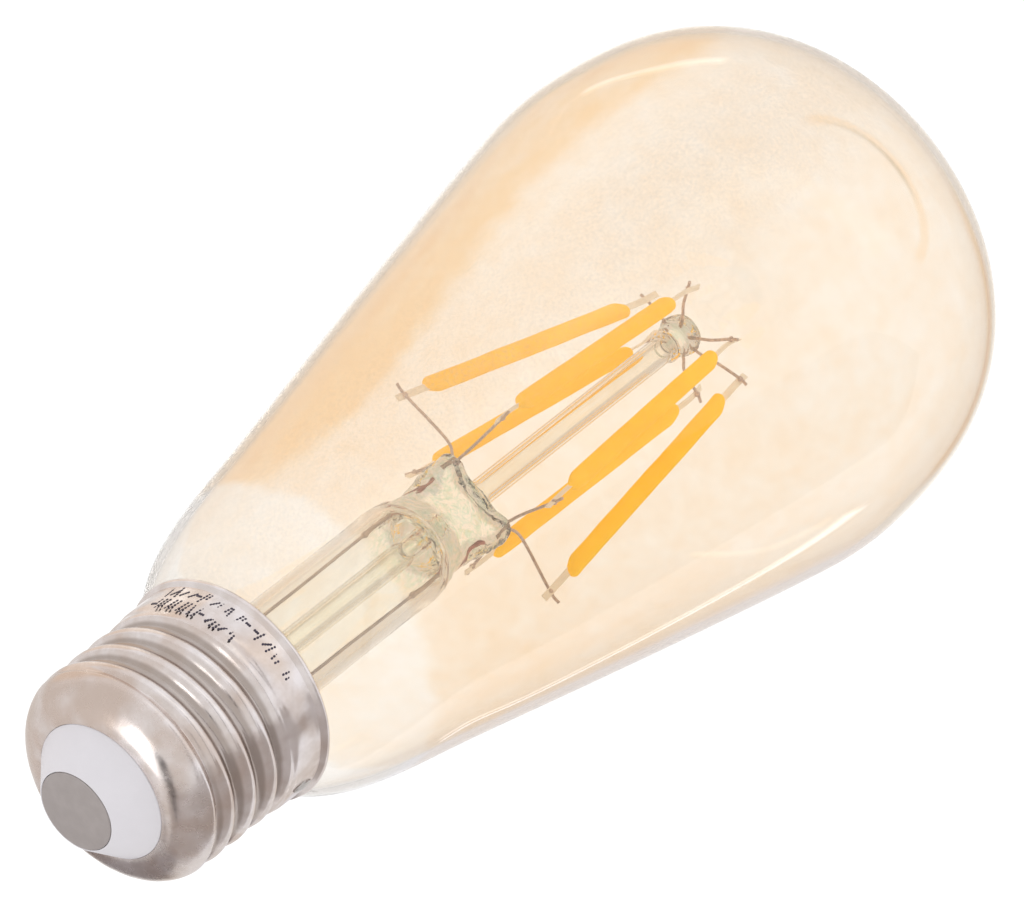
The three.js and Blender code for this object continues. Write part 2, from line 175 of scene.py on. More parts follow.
def catmull(points, steps):
    """Points on a smooth curve through the given points, of any dimension."""
    points = [Vector(p) for p in points]
    padded = [2 * points[0] - points[1], *points, 2 * points[-1] - points[-2]]
    out = []
    for i in range(len(points) - 1):
        p0, p1, p2, p3 = padded[i : i + 4]
        for k in range(steps):
            t = k / steps
            out.append(
                0.5 * (2 * p1 + (p2 - p0) * t + (2 * p0 - 5 * p1 + 4 * p2 - p3) * t**2
                       + (3 * p1 - p0 - 3 * p2 + p3) * t**3)
            )
    return [*out, points[-1]]


def arc(centre, half_size, start, end, steps):
    """Points on an arc of an ellipse between two angles in degrees."""
    out = []
    for i in range(steps + 1):
        t = math.radians(lerp(start, end, i / steps))
        out.append((centre[0] + half_size[0] * math.cos(t), centre[1] + half_size[1] * math.sin(t)))
    return out


def rounded(outline, radius, steps=4):
    """The closed outline with its corners off the axis rounded."""
    out = []
    count = len(outline)
    for i, point in enumerate(outline):
        here = Vector(point)
        before = Vector(outline[i - 1]) - here
        after = Vector(outline[(i + 1) % count]) - here
        if here.x < 1e-6:
            out.append(tuple(here))
            continue
        cut = min(radius, before.length * 0.45, after.length * 0.45)
        a = here + before.normalized() * cut
        b = here + after.normalized() * cut
        for k in range(steps + 1):
            t = k / steps
            out.append(tuple(a * (1 - t) ** 2 + here * 2 * t * (1 - t) + b * t**2))
    return out


def offset(outline, distance):
    """The open outline of (r, z) points moved to its left."""
    out = []
    for i, point in enumerate(outline):
        a = Vector(outline[max(i - 1, 0)])
        b = Vector(outline[min(i + 1, len(outline) - 1)])
        along = (b - a).normalized()
        out.append((max(point[0] - along.y * distance, 0), point[1] + along.x * distance))
    return out


def revolve(outline, segments, shift=None):
    """Vertices and faces of a closed outline of (r, z) points turned about Z. A point at radius 0
    is a pole. shift moves each vertex."""
    verts, faces, rings = [], [], []
    for r, z in outline:
        count = 1 if r < 1e-6 else segments
        rings.append(range(len(verts), len(verts) + count))
        for j in range(count):
            angle = 2 * math.pi * j / segments
            point = Vector((r * math.cos(angle), r * math.sin(angle), z))
            verts.append(shift(point) if shift else point)
    for a, b in zip(rings, [*rings[1:], rings[0]]):
        if len(a) == 1 and len(b) == 1:
            continue
        for j in range(segments):
            k = (j + 1) % segments
            corners = [a[j % len(a)], a[k % len(a)], b[k % len(b)], b[j % len(b)]]
            faces.append(list(dict.fromkeys(corners)))
    return verts, faces


def sweep(path, section, side, widen=None):
    """Vertices and faces of a bar along a path. section is a closed list of (across, facing)
    points, side is the direction that across starts in, and widen scales the section."""
    verts, faces = [], []
    count = len(section)
    across = Vector(side)
    for i, point in enumerate(path):
        along = (path[min(i + 1, len(path) - 1)] - path[max(i - 1, 0)]).normalized()
        across = (across - along * across.dot(along)).normalized()
        facing = along.cross(across)
        size = widen(i / (len(path) - 1)) if widen else 1
        for a, f in section:
            verts.append(point + (across * a + facing * f) * size)
        if i:
            start = (i - 1) * count
            for j in range(count):
                k = (j + 1) % count
                faces.append([start + j, start + k, start + count + k, start + count + j])
    faces.append(list(range(count)))
    faces.append(list(range(len(verts) - count, len(verts))))
    return verts, faces


def circle(radius, sides):
    """Points round a circle about the origin."""
    return [(radius * math.cos(2 * math.pi * j / sides), radius * math.sin(2 * math.pi * j / sides))
            for j in range(sides)]


def joined(*shapes):
    """Several vertex and face lists as one."""
    verts, faces = [], []
    for more_verts, more_faces in shapes:
        start = len(verts)
        verts += more_verts
        faces += [[start + i for i in face] for face in more_faces]
    return verts, faces


def piece(name, shape, look, slot, *nodes, flat_above=40):
    """Makes one closed mesh that stands for CAD nodes and rides on the body. Edges sharper than
    flat_above degrees stay sharp."""
    verts, faces = shape
    mesh = bpy.data.meshes.new(name)
    mesh.from_pydata([v * MM for v in verts], [], faces)
    mesh.validate()
    ob = bpy.data.objects.new(name, mesh)
    bpy.context.scene.collection.objects.link(ob)
    bpy.context.view_layer.objects.active = ob
    ob.select_set(True)
    bpy.ops.object.mode_set(mode="EDIT")
    bpy.ops.mesh.select_all(action="SELECT")
    bpy.ops.mesh.normals_make_consistent(inside=False)
    bpy.ops.object.mode_set(mode="OBJECT")
    bpy.ops.object.shade_smooth_by_angle(angle=math.radians(flat_above))
    ob.select_set(False)
    mesh.materials.append(look)
    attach(ob, BODY)
    if nodes:
        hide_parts(*nodes)
    return ob


# ---- Material helpers ----

class Nodes:
    """Short forms for building a node tree."""

    def __init__(self, tree):
        self.tree = tree

    def put(self, socket, value):
        """Links a socket to an input, or sets the input to a plain value."""
        if isinstance(value, bpy.types.NodeSocket):
            self.tree.links.new(value, socket)
        elif socket.type == "RGBA" and len(value) == 3:
            socket.default_value = (*value, 1)
        else:
            socket.default_value = value

    def add(self, kind, inputs=None, **settings):
        """A new node with its inputs and settings filled in."""
        node = self.tree.nodes.new("ShaderNode" + kind)
        for name, value in settings.items():
            setattr(node, name, value)
        for name, value in (inputs or {}).items():
            self.put(node.inputs[name], value)
        return node

    def ramp(self, value, start, end, to_start=0, to_end=1):
        """to_start where the value is at start, to_end at end, and a soft step between."""
        inputs = {"Value": value, "From Min": start, "From Max": end, "To Min": to_start,
                  "To Max": to_end}
        return self.add("MapRange", inputs, interpolation_type="SMOOTHSTEP").outputs["Result"]

    def mix(self, factor, a, b):
        """Colour a where the factor is 0 and colour b where it is 1."""
        node = self.add("Mix", data_type="RGBA")
        for index, value in ((0, factor), (6, a), (7, b)):
            self.put(node.inputs[index], value)
        return node.outputs[2]

    def math(self, operation, a, b=0.0):
        """The result of one arithmetic step."""
        return self.add("Math", {0: a, 1: b}, operation=operation).outputs[0]

    def plus(self, a, b, share=1.0):
        """a plus a share of b."""
        return self.math("ADD", a, self.math("MULTIPLY", b, share))


class Look(Nodes):
    """A material whose node tree starts as one Principled shader."""

    def __init__(self, name, **sockets):
        self.material = bpy.data.materials.new(name)
        self.material.use_nodes = True
        super().__init__(self.material.node_tree)
        self.shader = self.tree.nodes["Principled BSDF"]
        self.output = self.tree.nodes["Material Output"]
        for socket, value in sockets.items():
            self.set(socket.replace("_", " ").title().replace("Ior", "IOR"), value)

    def set(self, name, value):
        """Fills one input of the shader."""
        self.put(self.shader.inputs[name], value)

    def place(self, stretch=(1, 1, 1)):
        """The position on the object in millimetres, stretched along each axis."""
        coords = self.add("TexCoord").outputs["Object"]
        scale = [s / MM for s in stretch]
        return self.add("VectorMath", {0: coords, 1: scale}, operation="MULTIPLY").outputs[0]

    def along(self, axis):
        """The position along one axis, in millimetres."""
        return self.add("SeparateXYZ", {0: self.place()}).outputs[axis]

    def radius(self):
        """The distance from the bulb's axis, in millimetres."""
        flat = self.add("VectorMath", {0: self.place(), 1: (1, 1, 0)}, operation="MULTIPLY")
        return self.add("VectorMath", {0: flat.outputs[0]}, operation="LENGTH").outputs["Value"]

    def noise(self, size, detail=3, stretch=(1, 1, 1), distortion=0):
        """Noise from 0 to 1 with features of a size in millimetres."""
        inputs = {"Vector": self.place(stretch), "Scale": 1 / size, "Detail": detail,
                  "Distortion": distortion}
        return self.add("TexNoise", inputs).outputs["Fac"]

    def bump(self, value, depth, strength=1.0):
        """Relief of a depth in millimetres."""
        inputs = {"Height": value, "Distance": depth * MM, "Strength": strength}
        self.set("Normal", self.add("Bump", inputs).outputs[0])

    def let_lamps_through(self, tint):
        """Shadow rays pass this glass, so that what is inside is lit."""
        path = self.add("LightPath").outputs["Is Shadow Ray"]
        clear = self.add("BsdfTransparent", {"Color": tint}).outputs[0]
        both = self.add("MixShader", {0: path, 1: self.shader.outputs[0], 2: clear}).outputs[0]
        self.tree.links.new(both, self.output.inputs["Surface"])


# ---- Materials ----

def painted_side_shade(look, facing):
    """Depth of painted shade: deeper amber laid down the bulb's left front, where less white is
    reflected. Its edge is ragged and it is streaked along the bulb, and it is paler where it is seen
    edge-on."""
    edge = look.plus(look.along(X), look.ramp(look.along(Z), 45, 100, 15.5, 24))
    ragged_edge = look.plus(edge, look.noise(5, 4), 1.6)
    in_front = look.math("MULTIPLY", look.ramp(look.along(Y), 4, -4),
                         look.ramp(look.along(Z), 60, 90, 1.0, 0.85))
    run = look.math("MULTIPLY", look.ramp(ragged_edge, 2.1, -0.5), in_front)
    streaks = look.ramp(look.noise(3.5, 5, stretch=(1, 1, 0.25)), 0.3, 0.7, 0.72, 1.12)
    pale_edge = look.math("MULTIPLY", streaks, look.ramp(facing, 0.4, 0.75, 1, 0.3))
    return look.math("MULTIPLY", run, pale_edge)


def painted_mark_reflection(look):
    """Depth of a painted reflection: a crescent of deeper amber along the mould mark, on the front of
    the crown.
    """
    # Painted reflection, laid as deeper amber tint.
    off_mark = look.math("ABSOLUTE", look.plus(look.radius(), -MARK_R))
    mark = look.math("MULTIPLY", look.ramp(off_mark, 1.1, 0.3, 0, 0.6),
                     look.ramp(look.along(Z), SHOULDER_Z, SHOULDER_Z + 4))
    return look.math("MULTIPLY", mark, look.ramp(look.along(Y), -1, -5))


def lacquer_haze(look):
    """Share of light that the lacquer scatters. It is speckled, and cloudiest on the left."""
    cloudy = look.math("MINIMUM", look.ramp(look.along(X), -25, -16, 0.04, 0.14),
                       look.ramp(look.along(X), -12, 1, 0.14, 0.015))
    return look.math("MULTIPLY", look.ramp(look.noise(0.4, 2), 0.3, 0.72, 0.45, 1), cloudy)


def amber_glass():
    """Clear glass under a thin amber lacquer, which starts at an uneven line above the neck. It
    is deeper where it is seen edge-on, and painted deeper in a shade band down the left front and in a
    reflection crescent along the mould mark."""
    look = Look("amber_glass", roughness=0.0, ior=1.52)
    facing = look.add("LayerWeight", {"Blend": 0.5}).outputs["Facing"]
    # Painted shade down the left front plus a painted reflection along the mould mark, both as deeper
    # amber.
    painted_shade_and_reflection = look.plus(painted_side_shade(look, facing), painted_mark_reflection(look))
    waist = look.ramp(look.along(Z), 62, 115, 0.32, 0.12)
    rim = look.math("MULTIPLY", look.ramp(facing, 0.6, 1.0),
                    look.ramp(look.along(X), -20, 25, 0.3, 1.0))
    clouds = look.ramp(look.noise(7, 4, distortion=0.6), 0.3, 0.7, -0.1, 0.1)
    blotches = look.ramp(look.noise(2.2, 5), 0.3, 0.7, -0.08, 0.08)
    depth = look.plus(look.plus(painted_shade_and_reflection, look.plus(waist, rim)), look.plus(clouds, blotches))
    amber = look.mix(depth, (0.972, 0.92, 0.85), (0.955, 0.765, 0.54))
    ragged_z = look.plus(look.along(Z), look.noise(5, 3), 4.0)
    fade = look.plus(look.ramp(ragged_z, 40.2, 42.0, 0, 0.75), look.ramp(ragged_z, 41, 50, 0, 0.25))
    look.set("Base Color", look.mix(fade, (0.985, 0.977, 0.96), amber))
    look.set("Transmission Weight", look.math("SUBTRACT", 1.0, lacquer_haze(look)))
    look.let_lamps_through((0.99, 0.95, 0.89))
    return look.material


def clear_glass(name, tint, cloudiness, worked_above, ior):
    """Soda glass with faint cords in it. Above a height it was worked hot, and has green swirls
    and a wavy face."""
    look = Look(name, roughness=0.0, ior=ior, transmission_weight=1.0)
    cords = look.ramp(look.noise(2.2, 3, stretch=(1, 1, 0.25)), 0.35, 0.75)
    deeper = tuple(c * (1 - cloudiness) for c in tint)
    worked = look.ramp(look.along(Z), worked_above, worked_above + 4)
    swirls = look.ramp(look.noise(2.2, 2, distortion=3), 0.46, 0.6)
    swirled = look.math("MULTIPLY", swirls, worked)
    look.set("Base Color", look.mix(swirled, look.mix(cords, tint, deeper), (0.72, 0.86, 0.76)))
    look.bump(look.math("MULTIPLY", look.noise(1.3, 2, distortion=1), worked), 0.08)
    look.let_lamps_through((0.97, 0.97, 0.95))
    return look.material


def phosphor():
    """Silicone loaded with yellow phosphor: matte, finely grained and slightly uneven in tone, with a
    painted glow that lightens it as if lit.
    """
    look = Look("phosphor", roughness=0.6, ior=1.41, specular_ior_level=0.12)
    patches = look.ramp(look.noise(3.5, 3), 0.3, 0.7)
    base = look.mix(patches, (1.0, 0.56, 0.0), (1.0, 0.63, 0.01))
    grain = look.ramp(look.noise(0.14, 2), 0.35, 0.75, 0, 0.25)
    look.set("Base Color", look.mix(grain, base, (1.0, 0.72, 0.05)))
    # Painted glow: orange emission that brightens the strips as if more light fell on them.
    look.set("Emission Color", (1.0, 0.56, 0.0))
    look.set("Emission Strength", 0.36)
    look.bump(look.noise(0.12, 2), 0.02, 0.6)
    return look.material


def thin_metal(name, light, dark, size, roughness, metallic=0.85, painted_glow=0.0):
    """Drawn or rolled metal, streaked along the bulb and dulled in patches. The last argument
    is a painted glow: the metal's own colour given off as light, so that it looks more lit."""
    look = Look(name, metallic=metallic, ior=1.5, emission_strength=painted_glow)
    streaks = look.noise(size, 4, stretch=(1, 1, 0.2))
    colour = look.mix(look.ramp(streaks, 0.3, 0.72), dark, light)
    look.set("Base Color", colour)
    # Painted glow in the metal's own colour.
    look.set("Emission Color", colour)
    look.set("Roughness", look.ramp(streaks, 0.2, 0.8, roughness + 0.15, roughness))
    look.bump(look.noise(size * 0.4, 2), 0.01, 0.5)
    return look.material


def cap_nickel():
    """Satin nickel plating: soft mottling, warm tarnish in patches, painted shade in the root of
    the thread, and fine rubbing marks that run up and down the cap."""
    look = Look("cap_nickel", metallic=1.0)
    mottle = look.ramp(look.noise(2.2, 5, distortion=0.4), 0.3, 0.72)
    base = look.mix(mottle, (0.78, 0.72, 0.69), (0.91, 0.86, 0.85))
    on_dome = look.ramp(look.along(Z), DOME_TOP_Z + 1, DOME_TOP_Z - 1)
    stained = look.math("MULTIPLY", look.ramp(look.along(X), 2, -9, 0, 0.13), on_dome)
    tarnish = look.ramp(look.plus(look.noise(5.5, 5), stained), 0.4, 0.75, 0, 0.9)
    parts = look.add("SeparateXYZ", {0: look.place()})
    flat = look.add("CombineXYZ", {0: parts.outputs["X"], 1: parts.outputs["Y"]}).outputs[0]
    in_thread = look.ramp(parts.outputs["Z"], DOME_TOP_Z, DOME_TOP_Z + 1)
    # Painted shade: the root of the thread is darkened toward dark brown, as if in shadow.
    painted_groove_shade = look.math("MULTIPLY", look.ramp(look.radius(), 12.8, 12.4, 0, 0.65), in_thread)
    plated = look.mix(tarnish, base, (0.67, 0.555, 0.485))
    look.set("Base Color", look.mix(painted_groove_shade, plated, (0.36, 0.30, 0.26)))
    outward = look.add("VectorMath", {0: flat}, operation="NORMALIZE").outputs[0]
    rise = look.add("CombineXYZ", {2: look.math("MULTIPLY", parts.outputs["Z"], 0.012)}).outputs[0]
    rubbed = look.add("VectorMath", {0: outward, 1: rise}, operation="ADD").outputs[0]
    marks = look.add("TexNoise", {"Vector": rubbed, "Scale": 32.0, "Detail": 4.0}).outputs["Fac"]
    patchy = look.plus(look.noise(1.3, 3), marks, 0.6)
    roughness = look.ramp(patchy, 0.5, 1.1, 0.17, 0.27)
    look.set("Roughness", look.plus(roughness, on_dome, 0.03))
    look.bump(marks, 0.01, 0.12)
    return look.material


def matte(name, colour, variation, size, roughness, grain=0.02):
    """A matte body colour with a cloudy variation and a fine grain."""
    look = Look(name, roughness=roughness)
    darker = tuple(c * (1 - variation) for c in colour)
    look.set("Base Color", look.mix(look.ramp(look.noise(size, 4), 0.3, 0.7), darker, colour))
    look.bump(look.noise(size * 0.12, 3), grain, 0.5)
    return look.material


def contact_metal():
    """Dull grey disc with faint turning rings."""
    look = Look("contact_metal", metallic=0.3, roughness=0.55)
    radians_per_mm = 26.0
    rings = look.math("SINE", look.math("MULTIPLY", look.radius(), radians_per_mm))
    stains = look.ramp(look.noise(1.8, 4), 0.3, 0.75)
    look.set("Base Color", look.mix(stains, (0.40, 0.365, 0.355), (0.44, 0.405, 0.395)))
    look.bump(rings, 0.004, 0.4)
    return look.material


LOOKS = {
    "amber_glass": amber_glass(),
    "stem_glass": clear_glass("stem_glass", (0.98, 0.978, 0.945), 0.04, 55, 1.38),
    "rod_glass": clear_glass("rod_glass", (0.97, 0.952, 0.9), 0.03, ROD_TOP_Z, 1.36),
    "phosphor": phosphor(),
    # The last number of tab_metal and wire_metal is a painted glow that lightens them.
    "tab_metal": thin_metal("tab_metal", (1.0, 0.93, 0.79), (0.93, 0.84, 0.69), 0.5, 0.45, 0, 0.14),
    "wire_metal": thin_metal("wire_metal", (0.78, 0.63, 0.53), (0.55, 0.42, 0.36), 0.4, 0.4, 0.3, 0.05),
    "dumet": thin_metal("dumet", (0.66, 0.33, 0.27), (0.45, 0.2, 0.17), 0.5, 0.4),
    "cap_nickel": cap_nickel(),
    "insulator": matte("insulator", (0.80, 0.79, 0.83), 0.02, 2.5, 0.45),
    "contact_metal": contact_metal(),
    "cement": matte("cement", (0.72, 0.68, 0.60), 0.25, 1.2, 0.95, 0.15),
    "solder": thin_metal("solder", (0.80, 0.78, 0.76), (0.5, 0.48, 0.46), 0.4, 0.2),
    "ink": matte("ink", (0.06, 0.045, 0.075), 0.4, 0.4, 0.5),
    "sleeve_plastic": matte("sleeve_plastic", (0.86, 0.86, 0.84), 0.06, 3, 0.5),
    "circuit_board": matte("circuit_board", (0.05, 0.22, 0.09), 0.35, 0.8, 0.45),
    "chip_black": matte("chip_black", (0.03, 0.03, 0.032), 0.3, 0.5, 0.6),
    "capacitor_can": matte("capacitor_can", (0.05, 0.06, 0.10), 0.2, 1.5, 0.35),
    "copper": thin_metal("copper", (0.86, 0.46, 0.27), (0.62, 0.3, 0.17), 0.4, 0.3),
    "resistor_body": matte("resistor_body", (0.30, 0.46, 0.50), 0.2, 0.7, 0.5),
    "shield_metal": thin_metal("shield_metal", (0.76, 0.76, 0.74), (0.6, 0.6, 0.59), 0.8, 0.3),
    "red_insulation": matte("red_insulation", (0.55, 0.03, 0.03), 0.15, 0.9, 0.4),
    "black_insulation": matte("black_insulation", (0.03, 0.03, 0.03), 0.3, 0.9, 0.4),
}

# The parts inside the cap keep their CAD shapes, and take the material of their slot.
INSIDE = {
    "basing_cement": "cement",
    "insulating_sleeve": "sleeve_plastic",
    "driver_board": "circuit_board",
    "wireless_module": "circuit_board",
    "bridge_rectifier": "chip_black",
    "driver_chip": "chip_black",
    "bulk_capacitor": "capacitor_can",
    "inductor": "copper",
    "antenna": "copper",
    "fuse_resistor": "resistor_body",
    "shield_can": "shield_metal",
    "live_wire": "red_insulation",
    "neutral_wire": "black_insulation",
}
for node, look_name in INSIDE.items():
    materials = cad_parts[node].data.materials
    materials.clear()
    materials.append(LOOKS[look_name])


# ---- Cap ----

def thread_depth(z, angle):
    """Depth below the crest of the rolled thread: arcs that meet at a quarter of the pitch."""
    turn = z / PITCH - angle / (2 * math.pi)
    from_crest = abs(turn - round(turn)) * PITCH
    quarter = PITCH / 4

    def drop(x):
        return THREAD_ARC_R - math.sqrt(THREAD_ARC_R**2 - x**2)

    if from_crest <= quarter:
        return drop(from_crest)
    return 2 * drop(quarter) - drop(PITCH / 2 - from_crest)


def roll_thread(point):
    """Moves a vertex of the shell inwards to form the thread, and dents the sheet a little."""
    start = smooth(point.z, THREAD_START_Z, THREAD_START_Z + THREAD_FADE)
    end = smooth(point.z, THREAD_END_Z - THREAD_FADE, THREAD_END_Z)
    depth = thread_depth(point.z, math.atan2(point.y, point.x)) * start * (1 - end)
    depth += 0.05 * noise.noise(point * 0.22) + 0.02 * noise.noise(point * 0.6)
    radius = math.hypot(point.x, point.y)
    scale = 1 - depth / radius
    return Vector((point.x * scale, point.y * scale, point.z))


def screw_shell():
    """The formed sheet: mouth, dome, thread, plain skirt and rolled rim."""
    dome = (THREAD_CREST_R - MOUTH_R, DOME_TOP_Z - SHELL_BOTTOM_Z)
    outer = arc((MOUTH_R, DOME_TOP_Z), dome, -90, 0, 24)
    rows = 84
    outer += [(THREAD_CREST_R, lerp(DOME_TOP_Z, THREAD_END_Z, i / rows)) for i in range(1, rows + 1)]
    neck = RIM_Z - 1.1
    outer += catmull([(THREAD_CREST_R + 0.02, THREAD_END_Z + 0.3), (SKIRT_R, THREAD_END_Z + 1.2),
                      (SKIRT_R, neck - 1), (SKIRT_R + 0.04, neck)], 5)
    bead = (RIM_R - SKIRT_R) / 2 + 0.02
    outer += arc((RIM_R - bead, RIM_Z - bead - 0.12), (bead, bead + 0.12), -60, 90, 12)
    inner = offset(outer, SHEET)[::-1]
    outline = [(p[0], p[1]) for p in [*outer, *inner]]
    return revolve(outline, 256, roll_thread)


def insulator():
    """Pale cone that carries the centre contact, with its top clamped in the shell."""
    edge_z = SHELL_BOTTOM_Z - 0.05
    cone_r = MOUTH_R - 0.04
    flange_r = MOUTH_R + 1.1
    outline = [
        (1.6, 1.1), (CONTACT_R + 0.06, 1.1), (CONTACT_R + 0.06, 0.12), (CONTACT_R + 0.2, 0.12),
        (cone_r, edge_z), (cone_r, edge_z + 0.95), (flange_r, edge_z + 1.25),
        (flange_r, INSULATOR_TOP_Z), (1.6, INSULATOR_TOP_Z),
    ]
    return revolve(rounded(outline, 0.12), 128)


def centre_contact():
    """Flat disc with a shank that runs up through the insulator."""
    outline = [
        (0, 0), (CONTACT_R, 0), (CONTACT_R, 0.8), (1.3, 0.8), (1.3, SHANK_TOP_Z), (0, SHANK_TOP_Z),
    ]
    return revolve(rounded(outline, 0.16), 128)


def rim_weld():
    """A flattened run of solder down the skirt, from the rim."""
    middle_z = RIM_Z - 3
    verts, faces = revolve([(0, -1), *arc((0, 0), (1, 1), -80, 80, 14), (0, 1)], 32)
    placed = []
    for v in verts:
        lump = 1 + 0.15 * noise.noise(v * 1.7)
        slant = v.z * 0.35
        angle = WELD_ANGLE + (v.y * 0.75 * lump + slant) / SKIRT_R
        radius = SKIRT_R + 0.05 + v.x * 0.3 * lump
        placed.append(Vector((radius * math.cos(angle), radius * math.sin(angle), middle_z + v.z * 1.6)))
    return placed, faces


# Each stroke of ink: its dots, the degrees and the millimetres from dot to dot, its lift in
# millimetres, and the degrees to the next stroke.
INK_STROKES = [(5, 0.35, 0.42, 0, 2.5), (5, 0.35, 0.42, 0, 2.3), (5, -0.1, 0.42, 0, 2.6),
               (3, 0.35, 0.42, 0.8, 2.3), (3, 1.0, 0, 0.85, 3.2), (4, 0.8, 0.25, 0.3, 3.4)]


def ink_marks():
    """Two rows of dotted ticks and dashes in groups, printed round the skirt."""
    draw = random.Random(5)
    group_gap = 2
    shapes = []
    for row_z, start, end in ((23.4, -157, -78), (20.95, -160, -108)):
        angle = start
        while angle < end:
            for _ in range(draw.choice((2, 3, 4))):
                dots, sideways, up, lift, pitch = draw.choice(INK_STROKES)
                for k in range(dots):
                    turn = math.radians(angle + sideways * k)
                    shapes.append(ink_dot(turn, row_z + lift + up * k))
                angle += pitch
            angle += group_gap
    return joined(*shapes)


def ink_dot(angle, z):
    """A thin oval of dried ink on the skirt."""
    outline = [(0, 0), (0.17, 0), (0.17, 0.015), (0, 0.02)]
    verts, faces = revolve(outline, 10)
    out = Vector((math.cos(angle), math.sin(angle), 0))
    side = Vector((-out.y, out.x, 0))
    centre = out * SKIRT_R + Vector((0, 0, z))
    return [centre + side * v.x * 0.85 + Vector((0, 0, v.y * 1.15)) + out * v.z for v in verts], faces


piece("cap_shell", screw_shell(), LOOKS["cap_nickel"], "cap_nickel", "screw_shell")
piece("rim_solder_run", rim_weld(), LOOKS["solder"], "solder", "rim_weld")
piece("printed_ticks", ink_marks(), LOOKS["ink"], "black_insulation")
piece("cap_insulator", insulator(), LOOKS["insulator"], "insulator", "insulator")
piece("cap_contact", centre_contact(), LOOKS["contact_metal"], "contact_metal", "centre_contact")


# ---- Glass envelope ----

def crown_z(r):
    """Height of the crown's superellipse at a radius."""
    return SHOULDER_Z + CROWN_H * (1 - (r / BULB_R) ** CROWN_POWER) ** (1 / CROWN_POWER)


def eased(outline, rounds):
    """The outline with its bends evened out. It starts fixed and ends on the axis."""
    points = [Vector(p) for p in outline]
    for _ in range(rounds):
        ahead = [*points[1:], Vector((-points[-2].x, points[-2].y))]
        moved = [(a + 2 * b + c) / 4 for a, b, c in zip(points, points[1:], ahead[1:])]
        points = [points[0], *moved]
    return points


def envelope_outline():
    """Outside of the bulb from the neck's end to the crown."""
    side = catmull(
        [(NECK_R, 22.6), (11.5, 24.8), (13.1, 27), (15.8, 29.7), (17.9, 34.8), (19.3, 40.7),
         (20.6, 48.3), (22.8, 59.2), (26.15, 76.1), (29.35, 93), (31, 102.3), (31.55, 105.6),
         (31.89, 108.6), (BULB_R, SHOULDER_Z + 2)],
        8,
    )
    shoulder = [BULB_R * math.cos(math.radians(t)) ** (2 / CROWN_POWER) for t in range(3, 72, 2)]
    top = [lerp(shoulder[-1], 0, i / 70) for i in range(1, 71)]
    crown = [(r, crown_z(r)) for r in [*shoulder, *top]]
    return eased([(NECK_R, NECK_BOTTOM_Z), *side, *crown], 24)


def mould_mark(point):
    """Depth of the shallow crescent that the mould left round the crown."""
    turn = math.degrees(math.atan2(point.y, point.x))
    fades = smooth(turn, -180, -135) * (1 - smooth(turn, -95, -22))
    away = math.hypot(point.x, point.y) - MARK_R
    return MARK_DEPTH * fades * math.exp(-(away**2))


def envelope():
    """The blown glass wall, with the mould mark pressed into its outside."""
    outer = envelope_outline()
    inner = offset(outer, WALL)
    inner[-1] = (0, outer[-1].y - WALL)
    verts, faces = revolve([*inner[::-1], *outer], 224)
    for outside in verts[len(verts) // 2 :]:
        if outside.z > SHOULDER_Z:
            outside.z -= mould_mark(outside)
    return verts, faces


piece("envelope", envelope(), LOOKS["amber_glass"], "amber_glass", "glass_envelope")


# ---- Stem ----

